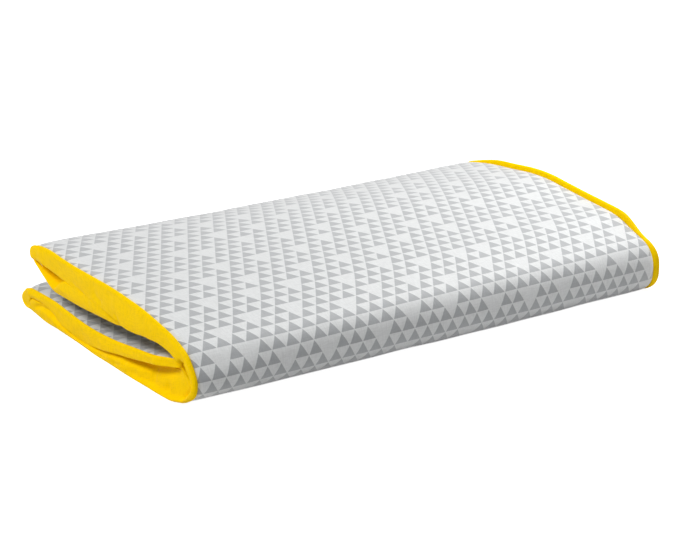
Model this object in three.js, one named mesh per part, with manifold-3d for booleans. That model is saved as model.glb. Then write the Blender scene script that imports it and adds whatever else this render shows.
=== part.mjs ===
// A padded ironing board cover, folded for storage. Both ends are turned in to the middle, and the
// double layer is then folded in half over a rounded nose, so four leaves lie on each other.
// Millimetres. X runs along the folds, Y to the back, Z up. The cover rests on Z = 0.
import * as THREE from 'three';
import { mergeVertices } from 'three/addons/utils/BufferGeometryUtils.js';
import Module from 'manifold-3d';

const wasm = await Module();
wasm.setup();

// Cloth layers
const seamWidth = 450; // width of the printed face between its side seams
const cottonThickness = 1.0;
const foamThickness = 3.3;
const feltThickness = 1.6;
const layerGap = 0.3; // air between two layers that touch on the real cover

// Casing band round the edge, with flat elastic in its hem
const bandThickness = 1.0; // doubled band cloth
const bandOverhang = 3.5; // from the side seam out to the inside of the wall
const hemWidth = 14; // how far the hem turns in past the side seam
const hemThickness = 0.8;
const tunnelWidth = 6.6;
const tunnelWall = 0.4;
const elasticThickness = 0.6;

// Folded form, in the plane across the folds. Distances run back from the nose.
const foldedDepth = 280;
const noseRadius = 23.5; // outer fold, which joins the top and bottom leaves
const hingeSwing = 45; // degrees from the nose's front to each line that it bends on
const noseSlope = 20; // degrees, how steeply the top leaf leaves the nose
const crestDistance = 204.5; // highest line of the top leaf
const crestHeight = 68;
const crestHandle = 70;
const slopeHandle = 45;
const upperLoopRadius = 8.5; // back fold of the upper pair of leaves
const upperLoopDistance = 252;
const upperLoopHeight = 56;
const shoulderAngle = 80; // degrees, where the upper loop meets the top leaf
const underAngle = -68.6; // degrees, where the upper loop meets the turned-in leaf
const crestBackHandle = 20;
const shoulderHandle = 15;
const upperEndDistance = 70.5; // end of the leaf that is turned in above
const upperEndRise = 16; // above the nose's centre
const upperEndHandle = [40, -4.5];
const kneeDistance = 210; // where the upper turned-in leaf bends up to its loop
const kneeHeight = 34.4;
const kneeFrontHandle = 40;
const kneeBackHandle = 10;
const underHandle = 22;
const lowerLoopRadius = 12.25; // back fold of the lower pair of leaves
const lowerEndDistance = 31.5; // end of the leaf that is turned in below
const lowerEndRise = 10.3; // above the nose's centre
const lowerEndHandle = [43.5, -7.5];
const dipDistance = 150; // lowest line of the lower turned-in leaf
const dipHeight = 19.3;
const dipHandle = 36;
const riseHandle = [-32.75, 2.5];

// Band walls, measured in from the printed face
const noseWallDepth = 14;
const endWallDepth = 9.1; // wall of a turned-in leaf, down to the crease between a pair of bands
const upperCreaseDepth = 13.4; // wall of the upper turned-in leaf at its back
const creaseGap = 0.6;
const creaseShares = [0.3, 0.55]; // stretch of the upper turned-in leaf where its wall widens
const hollowFront = 193; // hollow between the bands at the upper loop
const hollowBack = 237;
const hollowHeight = 51.8;
const hollowSlant = 19;
const lowerCreaseBack = 258;
const stepClearance = 2.5; // past the end of the upper turned-in leaf
const hingeGap = 2.1; // degrees of clearance at each line that the nose bends on

// Blank care label, sewn to the lining of the bottom leaf
const labelSize = [28, 42, 0.3];
const labelDistance = 120;
const labelInset = 60; // from the side seam

// Worked-out sizes
const halfSeam = seamWidth / 2;
const lipInside = halfSeam + layerGap;
const wallInside = halfSeam + bandOverhang;
const wallOutside = wallInside + bandThickness;
const foamDepth = cottonThickness + layerGap;
const feltDepth = foamDepth + foamThickness + layerGap;
const liningDepth = feltDepth + feltThickness;
const tunnelThickness = 2 * tunnelWall + 2 * layerGap + elasticThickness;
const rad = THREE.MathUtils.degToRad;

const printCotton = new THREE.MeshStandardMaterial({ color: 0xdfe3e1, roughness: 0.85, metalness: 0 });
const bandCotton = new THREE.MeshStandardMaterial({ color: 0xf8d005, roughness: 0.8, metalness: 0 });
const foamSheet = new THREE.MeshStandardMaterial({ color: 0xf1ecd8, roughness: 0.95, metalness: 0 });
const wovenFelt = new THREE.MeshStandardMaterial({ color: 0xd9d6cf, roughness: 1, metalness: 0 });
const elasticTape = new THREE.MeshStandardMaterial({ color: 0xf2f2ee, roughness: 0.7, metalness: 0 });
const labelSatin = new THREE.MeshStandardMaterial({ color: 0xfafafa, roughness: 0.5, metalness: 0 });

// Points of a curve with the direction that points in, from the printed face to the lining
function sample(curve, steps) {
  const stations = [];
  for (let i = 0; i <= steps; i += 1) {
    const point = curve.getPoint(i / steps);
    const tangent = curve.getTangent(i / steps);
    stations.push({ point, inward: new THREE.Vector2(-tangent.y, tangent.x) });
  }
  return stations;
}

function bezier(start, startHandle, endHandle, end) {
  const first = new THREE.Vector2(...start);
  const last = new THREE.Vector2(...end);
  const control1 = first.clone().add(new THREE.Vector2(...startHandle));
  const control2 = last.clone().add(new THREE.Vector2(...endHandle));
  return new THREE.CubicBezierCurve(first, control1, control2, last);
}

function arc(centre, radius, fromDegrees, toDegrees) {
  return new THREE.ArcCurve(centre[0], centre[1], radius, rad(fromDegrees), rad(toDegrees), false);
}

// A length laid off in a direction given in degrees
function along(length, degrees) {
  return [length * Math.cos(rad(degrees)), length * Math.sin(rad(degrees))];
}

function plus(point, offset) {
  return [point[0] + offset[0], point[1] + offset[1]];
}

function chain(...parts) {
  return parts.reduce((all, part) => all.concat(part.slice(1)), parts[0].slice(0, 1));
}

// The printed face's path across the folds: upper turned-in leaf, upper loop, top leaf, nose,
// bottom leaf, lower loop, lower turned-in leaf
const noseCentre = [noseRadius, noseRadius];
const upperLoopCentre = [upperLoopDistance, upperLoopHeight];
const lowerLoopCentre = [foldedDepth - lowerLoopRadius, lowerLoopRadius];
const upperHinge = 180 - hingeSwing;
const lowerHinge = 180 + hingeSwing;
const topStart = 90 + noseSlope;
const underStart = plus(upperLoopCentre, along(upperLoopRadius, underAngle));
const shoulder = plus(upperLoopCentre, along(upperLoopRadius, shoulderAngle));
const crest = [crestDistance, crestHeight];
const noseTop = plus(noseCentre, along(noseRadius, topStart));
const upperEnd = [upperEndDistance, noseRadius + upperEndRise];
const lowerEnd = [lowerEndDistance, noseRadius + lowerEndRise];
const knee = [kneeDistance, kneeHeight];
const dip = [dipDistance, dipHeight];
const lowerLoopTop = plus(lowerLoopCentre, [0, lowerLoopRadius]);
const lowerLoopFoot = plus(lowerLoopCentre, [0, -lowerLoopRadius]);
const noseFoot = [noseRadius, 0];

const upperInnerLeaf = chain(
  sample(bezier(upperEnd, upperEndHandle, [-kneeFrontHandle, 0], knee), 11),
  sample(bezier(knee, [kneeBackHandle, 0], along(underHandle, underAngle - 90), underStart), 5));
const upperLoop = sample(arc(upperLoopCentre, upperLoopRadius, underAngle, shoulderAngle), 8);
const topShoulder = sample(
  bezier(shoulder, along(shoulderHandle, shoulderAngle + 90), [crestBackHandle, 0], crest), 5);
const topLeaf = sample(bezier(crest, [-crestHandle, 0], along(slopeHandle, noseSlope), noseTop), 12);
const noseUpperArc = sample(arc(noseCentre, noseRadius, topStart, upperHinge - hingeGap / 2), 3);
const noseArc = sample(
  arc(noseCentre, noseRadius, upperHinge + hingeGap / 2, lowerHinge - hingeGap / 2), 10);
const noseLowerArc = sample(arc(noseCentre, noseRadius, lowerHinge + hingeGap / 2, 270), 5);
const bottomLeaf = sample(
  new THREE.LineCurve(new THREE.Vector2(...noseFoot), new THREE.Vector2(...lowerLoopFoot)), 1);
const lowerLoop = sample(arc(lowerLoopCentre, lowerLoopRadius, -90, 90), 12);
const lowerBackLeaf = sample(bezier(lowerLoopTop, riseHandle, [dipHandle, 0], dip), 9);
const lowerFrontLeaf = sample(bezier(dip, [-dipHandle, 0], lowerEndHandle, lowerEnd), 9);

const topOutline = chain(upperInnerLeaf, upperLoop, topShoulder, topLeaf, noseUpperArc);
const lowerInnerLeaf = chain(lowerBackLeaf, lowerFrontLeaf);
const lowerOutline = chain(noseLowerArc, bottomLeaf, lowerLoop, lowerInnerLeaf);

function offset(stations, depth) {
  return stations.map((s, i) => {
    const d = typeof depth === 'function' ? depth(i / (stations.length - 1)) : depth;
    return s.point.clone().addScaledVector(s.inward, d);
  });
}

function wound(points, clockwise) {
  return THREE.ShapeUtils.isClockWise(points) === clockwise ? points : points.slice().reverse();
}

// An outline across the folds, extruded along X from one side to the other
function extrudeAcross(outline, fromX, toX, holes = []) {
  const shape = new THREE.Shape(wound(outline, false));
  holes.forEach((hole) => shape.holes.push(new THREE.Path(wound(hole, true))));
  const geometry = new THREE.ExtrudeGeometry(shape, { depth: toX - fromX, bevelEnabled: false });
  geometry.applyMatrix4(new THREE.Matrix4().makeBasis(
    new THREE.Vector3(0, 1, 0), new THREE.Vector3(0, 0, 1), new THREE.Vector3(1, 0, 0)));
  geometry.translate(fromX, -foldedDepth / 2, 0);
  return geometry;
}

function ribbon(outer, inner) {
  return outer.concat(inner.slice().reverse());
}

function solid(geometry) {
  const bare = geometry.clone();
  bare.deleteAttribute('normal');
  bare.deleteAttribute('uv');
  const merged = mergeVertices(bare);
  return new wasm.Manifold(new wasm.Mesh({
    numProp: 3,
    vertProperties: Float32Array.from(merged.attributes.position.array),
    triVerts: Uint32Array.from(merged.index.array),
  }));
}

function join(geometries) {
  const whole = geometries.map(solid).reduce((sum, piece) => sum.add(piece));
  const mesh = whole.getMesh();
  const geometry = new THREE.BufferGeometry();
  geometry.setAttribute('position', new THREE.BufferAttribute(mesh.vertProperties, 3));
  geometry.setIndex(new THREE.BufferAttribute(mesh.triVerts, 1));
  geometry.computeVertexNormals();
  return geometry;
}

const cover = new THREE.Group();

function addPiece(name, geometry, material) {
  const mesh = new THREE.Mesh(geometry, material);
  mesh.name = name;
  cover.add(mesh);
}

// Printed cotton, foam and felt follow the same path, one inside the other
function addLayers(name, stations) {
  const layer = (from, thickness) => extrudeAcross(
    ribbon(offset(stations, from), offset(stations, from + thickness)), -halfSeam, halfSeam);
  addPiece(`${name}_printed_cover`, layer(0, cottonThickness), printCotton);
  addPiece(`${name}_foam_pad`, layer(foamDepth, foamThickness), foamSheet);
  addPiece(`${name}_felt_lining`, layer(feltDepth, feltThickness), wovenFelt);
}

// Lines that the bands' inner edges follow
const smooth = (share, [from, to]) => THREE.MathUtils.smoothstep(share, from, to);
const upperWallDepth = (share) =>
  endWallDepth + (upperCreaseDepth - endWallDepth) * smooth(share, creaseShares);
const topFront = chain(topLeaf, noseUpperArc);
const noseUnderEdge = offset(topFront, noseWallDepth)
  .filter((p) => p.x < upperEndDistance - stepClearance);
const upperUnderEdge = offset(upperInnerLeaf, upperWallDepth).filter((p) => p.x < hollowFront);
const upperOverEdge = offset(upperInnerLeaf, (share) => upperWallDepth(share) + creaseGap)
  .filter((p) => p.x < hollowFront);
const stepCorner = new THREE.Vector2(upperEndDistance - stepClearance, upperOverEdge[0].y);
const hollowTip = new THREE.Vector2(hollowBack, hollowHeight);
const hollowFloor = offset(upperInnerLeaf, endWallDepth)
  .filter((p) => p.x > hollowFront + hollowSlant && p.x < hollowBack - creaseGap);
const lowerOverEdge = offset(lowerInnerLeaf, endWallDepth).filter((p) => p.x < lowerCreaseBack);
const lowerUnderEdge = offset(lowerInnerLeaf, endWallDepth + creaseGap)
  .filter((p) => p.x < lowerCreaseBack);
const creaseTip = sample(
  new THREE.ArcCurve(
    lowerOverEdge[0].x, (lowerOverEdge[0].y + lowerUnderEdge[0].y) / 2, creaseGap / 2,
    -Math.PI / 2, Math.PI / 2, false), 4).map((s) => s.point).slice(1, -1);
const lowerNoseEdge = offset(noseLowerArc, noseWallDepth).slice(0, 1);

// Inner edge of each body's walls, from the nose along the outer leaf to the back, and along the
// turned-in leaf to its end
const topHemLine = [
  ...noseUnderEdge.slice().reverse(), stepCorner, ...upperOverEdge, hollowTip,
  ...hollowFloor.slice().reverse(), ...upperUnderEdge.slice().reverse(),
];
const lowerHemLine = [
  ...lowerNoseEdge, ...lowerUnderEdge.slice().reverse(), ...creaseTip, ...lowerOverEdge,
];
const noseHemLine = offset(noseArc, noseWallDepth);

const topWall = [...offset(topOutline, 0), ...topHemLine];
const lowerWall = [...offset(lowerOutline, 0), ...lowerHemLine.slice().reverse()];
const noseWall = ribbon(offset(noseArc, 0), noseHemLine);

// A line of points, moved sideways by a depth: positive is to the left of its direction
function shift(line, depth) {
  return line.map((p, i) => {
    const t = new THREE.Vector2();
    if (i > 0) {
      t.add(p.clone().sub(line[i - 1]).normalize());
    }
    if (i < line.length - 1) {
      t.add(line[i + 1].clone().sub(p).normalize());
    }
    t.normalize();
    return new THREE.Vector2(p.x - t.y * depth, p.y + t.x * depth);
  });
}

// A hem that turns in from the wall and ends in a tunnel. side is +1 or -1 along X, and turn says
// on which side of the line the hem lies.
function hem(line, side, turn) {
  const strip = (from, to, inner, outer) => {
    const edges = [side * inner, side * outer].sort((a, b) => a - b);
    const ends = turn > 0 ? [from, to] : [-to, -from];
    return extrudeAcross(ribbon(shift(line, ends[0]), shift(line, ends[1])), ...edges);
  };
  const tunnelInside = halfSeam - hemWidth;
  const tunnelOutside = tunnelInside + tunnelWidth;
  const roof = tunnelThickness - tunnelWall;
  return [
    strip(0, hemThickness, tunnelOutside - tunnelWall, wallOutside),
    strip(0, tunnelWall, tunnelInside, tunnelOutside),
    strip(roof, tunnelThickness, tunnelInside, tunnelOutside),
    strip(0, tunnelThickness, tunnelInside, tunnelInside + tunnelWall),
    strip(0, tunnelThickness, tunnelOutside - tunnelWall, tunnelOutside),
  ];
}

function elastic(line, side, turn) {
  const from = tunnelWall + layerGap;
  const to = from + elasticThickness;
  const ends = turn > 0 ? [from, to] : [-to, -from];
  const inner = halfSeam - hemWidth + tunnelWall + layerGap;
  const outer = halfSeam - hemWidth + tunnelWidth - tunnelWall - layerGap;
  const edges = [side * inner, side * outer].sort((a, b) => a - b);
  return extrudeAcross(ribbon(shift(line, ends[0]), shift(line, ends[1])), ...edges);
}

// Side band of one body: a lip from the seam, the wall, and a hem along the wall's inner edge with
// elastic in its tunnel
function addSideBand(name, side, outline, wall, line, turn) {
  const sideName = side < 0 ? 'left' : 'right';
  const across = (...reaches) => reaches.map((x) => side * x).sort((a, b) => a - b);
  const lip = ribbon(offset(outline, 0), offset(outline, bandThickness));
  const band = join([
    extrudeAcross(wall, ...across(wallInside, wallOutside)),
    extrudeAcross(lip, ...across(lipInside, wallOutside)),
    ...hem(line, side, turn),
  ]);
  addPiece(`${name}_band_${sideName}`, band, bandCotton);
  addPiece(`${name}_hem_elastic_${sideName}`, elastic(line, side, turn), elasticTape);
}

// End band across a turned-in leaf's end: wall, hem and tunnel run along X
function addEndBand(name, station, backward) {
  const place = (t, n) => station.point.clone()
    .addScaledVector(backward, t)
    .addScaledVector(station.inward, n);
  const wallFront = -layerGap - bandThickness;
  const tunnelFront = hemWidth - tunnelWidth;
  const hemTop = endWallDepth - hemThickness;
  const tunnelTop = endWallDepth - tunnelThickness;
  const wall = [
    place(wallFront, 0), place(-layerGap, 0), place(-layerGap, endWallDepth),
    place(wallFront, endWallDepth),
  ];
  const turned = [
    place(wallFront, hemTop), place(tunnelFront, hemTop), place(tunnelFront, tunnelTop),
    place(hemWidth, tunnelTop), place(hemWidth, endWallDepth), place(wallFront, endWallDepth),
  ];
  const room = (inset) => [
    place(tunnelFront + inset, tunnelTop + inset), place(hemWidth - inset, tunnelTop + inset),
    place(hemWidth - inset, endWallDepth - inset), place(tunnelFront + inset, endWallDepth - inset),
  ];
  const hemEnd = halfSeam - hemWidth - layerGap;
  const band = join([
    extrudeAcross(wall, -wallOutside, wallOutside),
    extrudeAcross(turned, -hemEnd, hemEnd, [room(tunnelWall)]),
  ]);
  addPiece(`${name}_end_band`, band, bandCotton);
  addPiece(`${name}_end_elastic`,
    extrudeAcross(room(tunnelWall + layerGap), -hemEnd, hemEnd), elasticTape);
}

addLayers('top', topOutline);
addLayers('nose', noseArc);
addLayers('lower', lowerOutline);
[-1, 1].forEach((side) => {
  addSideBand('top', side, topOutline, topWall, topHemLine, 1);
  addSideBand('nose', side, noseArc, noseWall, noseHemLine, -1);
  addSideBand('lower', side, lowerOutline, lowerWall, lowerHemLine, -1);
});

const firstStation = topOutline[0];
const lastStation = lowerOutline[lowerOutline.length - 1];
const turned = (v) => new THREE.Vector2(v.y, -v.x);
addEndBand('top', firstStation, turned(firstStation.inward));
addEndBand('lower', lastStation, turned(lastStation.inward).negate());

const label = new THREE.BoxGeometry(...labelSize);
label.translate(halfSeam - labelInset, labelDistance - foldedDepth / 2,
  liningDepth + layerGap + labelSize[2] / 2);
addPiece('care_label_blank', label, labelSatin);

export default cover;
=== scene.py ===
"""A padded ironing board cover, folded for storage: printed cotton over foam and felt, with a yellow
cotton band sewn round the edge. Sizes are in millimetres until a mesh is made. X runs along the folds,
Y to the back, Z up."""

import math

import bpy
import numpy as np
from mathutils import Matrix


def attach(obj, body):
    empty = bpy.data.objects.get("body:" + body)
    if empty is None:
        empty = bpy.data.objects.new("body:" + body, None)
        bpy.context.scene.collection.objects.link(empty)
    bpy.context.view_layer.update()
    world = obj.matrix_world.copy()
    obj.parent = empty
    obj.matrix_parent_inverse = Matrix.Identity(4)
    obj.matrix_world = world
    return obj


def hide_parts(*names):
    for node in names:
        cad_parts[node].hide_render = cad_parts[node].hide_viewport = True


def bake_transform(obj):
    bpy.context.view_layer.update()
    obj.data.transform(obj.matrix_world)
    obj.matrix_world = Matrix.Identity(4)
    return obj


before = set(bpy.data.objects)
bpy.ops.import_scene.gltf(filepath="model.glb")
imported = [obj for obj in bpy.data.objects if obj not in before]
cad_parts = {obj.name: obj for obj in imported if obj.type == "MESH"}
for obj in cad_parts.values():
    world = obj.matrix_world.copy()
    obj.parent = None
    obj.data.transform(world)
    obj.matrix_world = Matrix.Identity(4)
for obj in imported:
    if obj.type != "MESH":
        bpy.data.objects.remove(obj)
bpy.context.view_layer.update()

MM = 0.001

# Cloth sizes. Here and further down, GROWS or FADES is a pair of places between which something comes or
# goes, and SPAN holds both pairs. They are distances back from the nose, unless it says otherwise.
SEAM_WIDTH = 450  # printed face, between its side seams
HALF_SEAM = SEAM_WIDTH / 2
COTTON = 0.8
FOAM_DEPTH = 1.2  # from the printed face in to the foam
FOAM = 3.2
FELT_DEPTH = 4.8
FELT = 1.5
PADDING_INSET = 1.2  # the padding stops short of the side seam
HOLLOW_INSET = 10  # further, round the hollow at the upper loop
HOLLOW_INSET_GROWS = (186, 204)
HOLLOW_INSET_FADES = (6, 16)  # mm past the start of the upper loop
LOW_INSET = 5  # further, in the lower leaves near the nose
LOW_INSET_FADES = (110, 150)
FACE_INSET = 0.4
BAND_CLOTH = 0.6
FACE_SPACING = 2.4  # of the mesh's points
PADDING_SPACING = 5.0

# Folded form, in the plane across the folds: (distance back from the nose, height)
FOLDED_DEPTH = 280
NOSE_RADIUS = 23.5
NOSE_SLOPE = 20
CREST = (204.5, 68.0)
CREST_HANDLE = 70
SLOPE_HANDLE = 45
CREST_BACK_HANDLE = 20
UPPER_LOOP_RADIUS = 8.5
UPPER_LOOP_CENTRE = (252.0, 56.0)
SHOULDER_ANGLE = 80
UNDER_ANGLE = -68.6
SHOULDER_HANDLE = 15
UPPER_END = (70.5, 39.5)
UPPER_END_HANDLE = (40.0, -4.5)
KNEE = (210.0, 34.4)
KNEE_FRONT_HANDLE = 40
KNEE_BACK_HANDLE = 10
UNDER_HANDLE = 22
LOWER_LOOP_RADIUS = 12.25
LOWER_LOOP_CENTRE = (FOLDED_DEPTH - LOWER_LOOP_RADIUS, LOWER_LOOP_RADIUS)
RISE_HANDLE = (-32.75, 2.5)
DIP = (150.0, 19.3)
DIP_HANDLE = 36
LOWER_END = (31.5, 33.8)
LOWER_END_HANDLE = (43.5, -7.5)

# Print lattice
TRIANGLE = 12.22  # side of one printed triangle
ROW = TRIANGLE * math.sqrt(3) / 2
LATTICE_START = 18.51  # columns from the left seam's first vertex to the middle

# Camera of the photograph
VIEW_AZIMUTH = 35.384
VIEW_ELEVATION = 18.133
VIEW_PLACE = (-770.57, -1079.37, 459.66)
VIEW_LENS = 88.99
SENSOR = 36.0


def place_camera():
    data = bpy.data.cameras.new("photo_camera")
    data.lens = VIEW_LENS
    data.sensor_width = SENSOR
    data.sensor_fit = "HORIZONTAL"
    data.clip_start = 0.01
    data.clip_end = 100.0
    camera = bpy.data.objects.new("photo_camera", data)
    camera.location = [c * MM for c in VIEW_PLACE]
    camera.rotation_euler = (math.radians(90 - VIEW_ELEVATION), 0, -math.radians(VIEW_AZIMUTH))
    bpy.context.scene.collection.objects.link(camera)
    bpy.context.scene.camera = camera


place_camera()


# The path across the folds

def bezier(start, start_handle, end_handle, end, count=240):
    p0, p3 = np.array(start, float), np.array(end, float)
    p1, p2 = p0 + start_handle, p3 + end_handle
    t = np.linspace(0, 1, count)[:, None]
    return (1 - t) ** 3 * p0 + 3 * t * (1 - t) ** 2 * p1 + 3 * t**2 * (1 - t) * p2 + t**3 * p3


def polar(length, degrees):
    return np.array([math.cos(math.radians(degrees)), math.sin(math.radians(degrees))]) * length


def arc(centre, radius, start, end, count=180):
    angle = np.radians(np.linspace(start, end, count))
    return np.array(centre) + radius * np.stack([np.cos(angle), np.sin(angle)], 1)


nose_centre = (NOSE_RADIUS, NOSE_RADIUS)
under_start = UPPER_LOOP_CENTRE + polar(UPPER_LOOP_RADIUS, UNDER_ANGLE)
shoulder = UPPER_LOOP_CENTRE + polar(UPPER_LOOP_RADIUS, SHOULDER_ANGLE)
nose_top = nose_centre + polar(NOSE_RADIUS, 90 + NOSE_SLOPE)
loop_foot = (LOWER_LOOP_CENTRE[0], 0.0)
loop_top = (LOWER_LOOP_CENTRE[0], 2 * LOWER_LOOP_RADIUS)

path_parts = {
    "upper_inner": np.concatenate([
        bezier(UPPER_END, UPPER_END_HANDLE, (-KNEE_FRONT_HANDLE, 0), KNEE),
        bezier(KNEE, (KNEE_BACK_HANDLE, 0), polar(UNDER_HANDLE, UNDER_ANGLE - 90), under_start)[1:]]),
    "upper_loop": arc(UPPER_LOOP_CENTRE, UPPER_LOOP_RADIUS, UNDER_ANGLE, SHOULDER_ANGLE),
    "top_back": bezier(shoulder, polar(SHOULDER_HANDLE, SHOULDER_ANGLE + 90), (CREST_BACK_HANDLE, 0), CREST),
    "top": bezier(CREST, (-CREST_HANDLE, 0), polar(SLOPE_HANDLE, NOSE_SLOPE), nose_top),
    "nose_upper": arc(nose_centre, NOSE_RADIUS, 90 + NOSE_SLOPE, 180),
    "nose_lower": arc(nose_centre, NOSE_RADIUS, 180, 270),
    "bottom": np.stack([np.linspace(NOSE_RADIUS, loop_foot[0], 240), np.zeros(240)], 1),
    "lower_loop": arc(LOWER_LOOP_CENTRE, LOWER_LOOP_RADIUS, -90, 90),
    "lower_inner": np.concatenate([
        bezier(loop_top, RISE_HANDLE, (DIP_HANDLE, 0), DIP),
        bezier(DIP, (-DIP_HANDLE, 0), LOWER_END_HANDLE, LOWER_END)[1:]]),
}


def join_path(parts):
    """Points of the whole path, the length along it at each, and the length at which each part starts."""
    points, starts, total = [np.array(UPPER_END)[None, :]], {}, 0.0
    for name, part in parts.items():
        starts[name] = total
        points.append(part[1:])
        total += np.linalg.norm(np.diff(part, axis=0), axis=1).sum()
    points = np.concatenate(points)
    along = np.concatenate([[0], np.cumsum(np.linalg.norm(np.diff(points, axis=0), axis=1))])
    starts["end"] = along[-1]
    return points, along, starts


path_points, path_along, mark = join_path(path_parts)

END_RUN = 12.0  # the path runs straight on past both ends, for the band that goes round them
steps = path_points[[0, -1]] - path_points[[1, -2]]
ends = path_points[[0, -1]] + steps / np.linalg.norm(steps, axis=1, keepdims=True) * END_RUN
path_points = np.concatenate([ends[:1], path_points, ends[1:]])
path_along = np.concatenate([[-END_RUN], path_along, [path_along[-1] + END_RUN]])
path_tangents = np.gradient(path_points, path_along, axis=0)


def path_at(s):
    """Point and inward direction at each length along the path, as (distance, height) pairs."""
    point = np.stack([np.interp(s, path_along, path_points[:, k]) for k in (0, 1)], -1)
    tangent = np.stack([np.interp(s, path_along, path_tangents[:, k]) for k in (0, 1)], -1)
    tangent /= np.linalg.norm(tangent, axis=-1, keepdims=True)
    return point, np.stack([-tangent[..., 1], tangent[..., 0]], -1)


def on(s, first, last):
    """True at the lengths from the start of one part of the path to the start of another."""
    return (s >= mark[first]) & (s < mark[last])


def smooth(value, low, high):
    t = np.clip((value - low) / (high - low), 0, 1)
    return t * t * (3 - 2 * t)


def between(value, starts, ends):
    """1 between two places, with a smooth rise and a smooth fall."""
    return smooth(value, *starts) * (1 - smooth(value, *ends))


# The real cover isn't even. Each profile gives (distance, rise) of the upper leaves at one place across.
LIFT_START = 44  # height above which the upper leaves take part
LIFT_FULL = 58
LEFT_RISE = [(0, 0), (30, 0.6), (56, 0.6), (94, -0.8), (133, -2.6), (175, -4.3), (205, -3.5), (222, -2.0),
             (238, -1.1), (262, -2.4)]
MIDDLE_RISE = [(0, 0), (40, 0.8), (85, 1.2), (120, 1.4), (155, 1.5), (190, 0.8), (225, -1.2), (250, -2.4),
               (262, -2.4)]
RIGHT_RISE = [(0, 0), (20, 0.4), (45, 3.6), (75, 3.3), (100, 3.5), (120, 4.6), (138, 6.2), (155, 6.2),
              (175, 5.1), (195, 3.4), (216, 2.2), (245, 0.7), (262, -0.1)]

# The nose lies further back at the right, and its left end is drawn in by the elastic
NOSE_REACH = 62  # distance over which the nose's own changes fade
NOSE_BACK = (2.2, 3.4, 1.4)  # at the left seam, gained by the middle, gained by the right seam
BACK_GROWS = ((-1.1, -0.2), (-0.2, 1))  # shares of the half width for those two gains
NOSE_SAG = 3.6  # the padding sinks to the foot of the nose
SAG_HEIGHT_FADES = (1, 24)
SAG_FADES = (16, 44)
NOSE_SHOULDER = 3.4  # the left end of the nose is flatter above its middle
SHOULDER_HEIGHT_SPAN = ((22, 38), (58, 68))
SHOULDER_FADES = (12, 36)
SHOULDER_FROM = 130  # from the middle of the width to the left
NOSE_DRAWN = 2.5
NOSE_DRAWN_FROM = 140


def through(knots, value):
    """A smooth line through knots, each (place, value)."""
    place, height = np.array(knots, float).T
    slope = np.gradient(height, place)
    k = np.clip(np.searchsorted(place, value) - 1, 0, len(place) - 2)
    step = place[k + 1] - place[k]
    t = np.clip((value - place[k]) / step, 0, 1)
    return ((1 + 2 * t) * (1 - t) ** 2 * height[k] + t * (1 - t) ** 2 * step * slope[k]
            + t**2 * (3 - 2 * t) * height[k + 1] + t**2 * (t - 1) * step * slope[k + 1])


def settled(distance, height, x):
    """Where a place of the even form lies on the uneven cover: (x, y, z) in millimetres."""
    distance, height, x = np.broadcast_arrays(distance, height, x)
    share = np.clip(x / HALF_SEAM, -1, 1)
    rise = (through(LEFT_RISE, distance) * share * (share - 1) / 2
            + through(MIDDLE_RISE, distance) * (1 - share**2)
            + through(RIGHT_RISE, distance) * share * (share + 1) / 2)
    near = 1 - smooth(distance, 0, NOSE_REACH)
    sag = NOSE_SAG * (1 - smooth(height, *SAG_HEIGHT_FADES)) * (1 - smooth(distance, *SAG_FADES))
    gains = [gain * smooth(share, *grows) for gain, grows in zip(NOSE_BACK[1:], BACK_GROWS)]
    back = NOSE_BACK[0] + gains[0] + gains[1]
    drawn = NOSE_DRAWN * smooth(-x, NOSE_DRAWN_FROM, HALF_SEAM)
    shoulder = between(height, *SHOULDER_HEIGHT_SPAN) * (1 - smooth(distance, *SHOULDER_FADES))
    back = back * near - sag + NOSE_SHOULDER * shoulder * smooth(-x, SHOULDER_FROM, HALF_SEAM)
    return np.stack([x + drawn * near, distance + back - FOLDED_DEPTH / 2,
                     height + rise * smooth(height, LIFT_START, LIFT_FULL)], -1)


# Padding never lies dead flat: shallow hollows, from long waves that cross each other
WAVES = [  # length along the folds, length across them, turn of phase
    (163.0, 118.0, 0.4), (-97.0, 141.0, 2.1), (71.0, 83.0, 4.4), (-58.0, 67.0, 1.3), (210.0, -49.0, 5.2),
]
WAVE_DEPTH = 0.75
WAVE_POWER = 1.5  # over 1, so that the hollows are narrower than the hills
SEAM_ROLL = 0.5  # how far the face curves down towards the side seam, and over what distance
SEAM_ROLL_REACH = 8
SEAM_DIP = 0.7  # the stitched groove itself
SEAM_DIP_REACH = 2.4
NOSE_TUCK = (4.5, 27.0, 26.0)  # flattened underside of the nose: depth, middle and half width along the path
LEFT_TUCK_REACH = 10  # the two tucks below fade with distance from the left seam
# The loops are drawn in at their left ends: (length past the start of the loop, depth)
BACK_TUCK = [(-118, 0), (-88, 1.4), (-58, 2.3), (-33, 2.4), (-17, 4.1), (-5, 5.2), (5, 5.8), (12, 4.7),
             (18, 3.7), (24, 4.8), (30, 5.4), (36, 3.4), (44, 0.8), (56, 0)]
LOOP_TUCK = [(-40, 0), (-26, 1.5), (-15, 2.8), (-6, 5.0), (2, 7.2), (7, 7.8), (12, 6.4), (17, 3.2),
             (22, 0.9), (34, 0)]


def sunk(s, x):
    """How far in the smooth face lies at each place."""
    total = sum(np.sin(2 * math.pi * (x / a + s / b) + phase) for a, b, phase in WAVES)
    waves = WAVE_DEPTH * (0.5 + 0.5 * total / len(WAVES)) ** WAVE_POWER
    share = np.clip(x / HALF_SEAM, -1, 1)
    from_left = np.maximum(x + HALF_SEAM, 0)
    deepest, middle, half_width = NOSE_TUCK
    from_middle = np.abs(s - (mark["nose_lower"] + middle))
    tuck = deepest * ((1 - share) / 2) ** 2 * (1 - smooth(from_middle, 0, half_width))
    loops = through(BACK_TUCK, s - mark["lower_loop"]) + through(LOOP_TUCK, s - mark["upper_loop"])
    return waves + tuck + loops * np.exp(-from_left / LEFT_TUCK_REACH)


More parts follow.
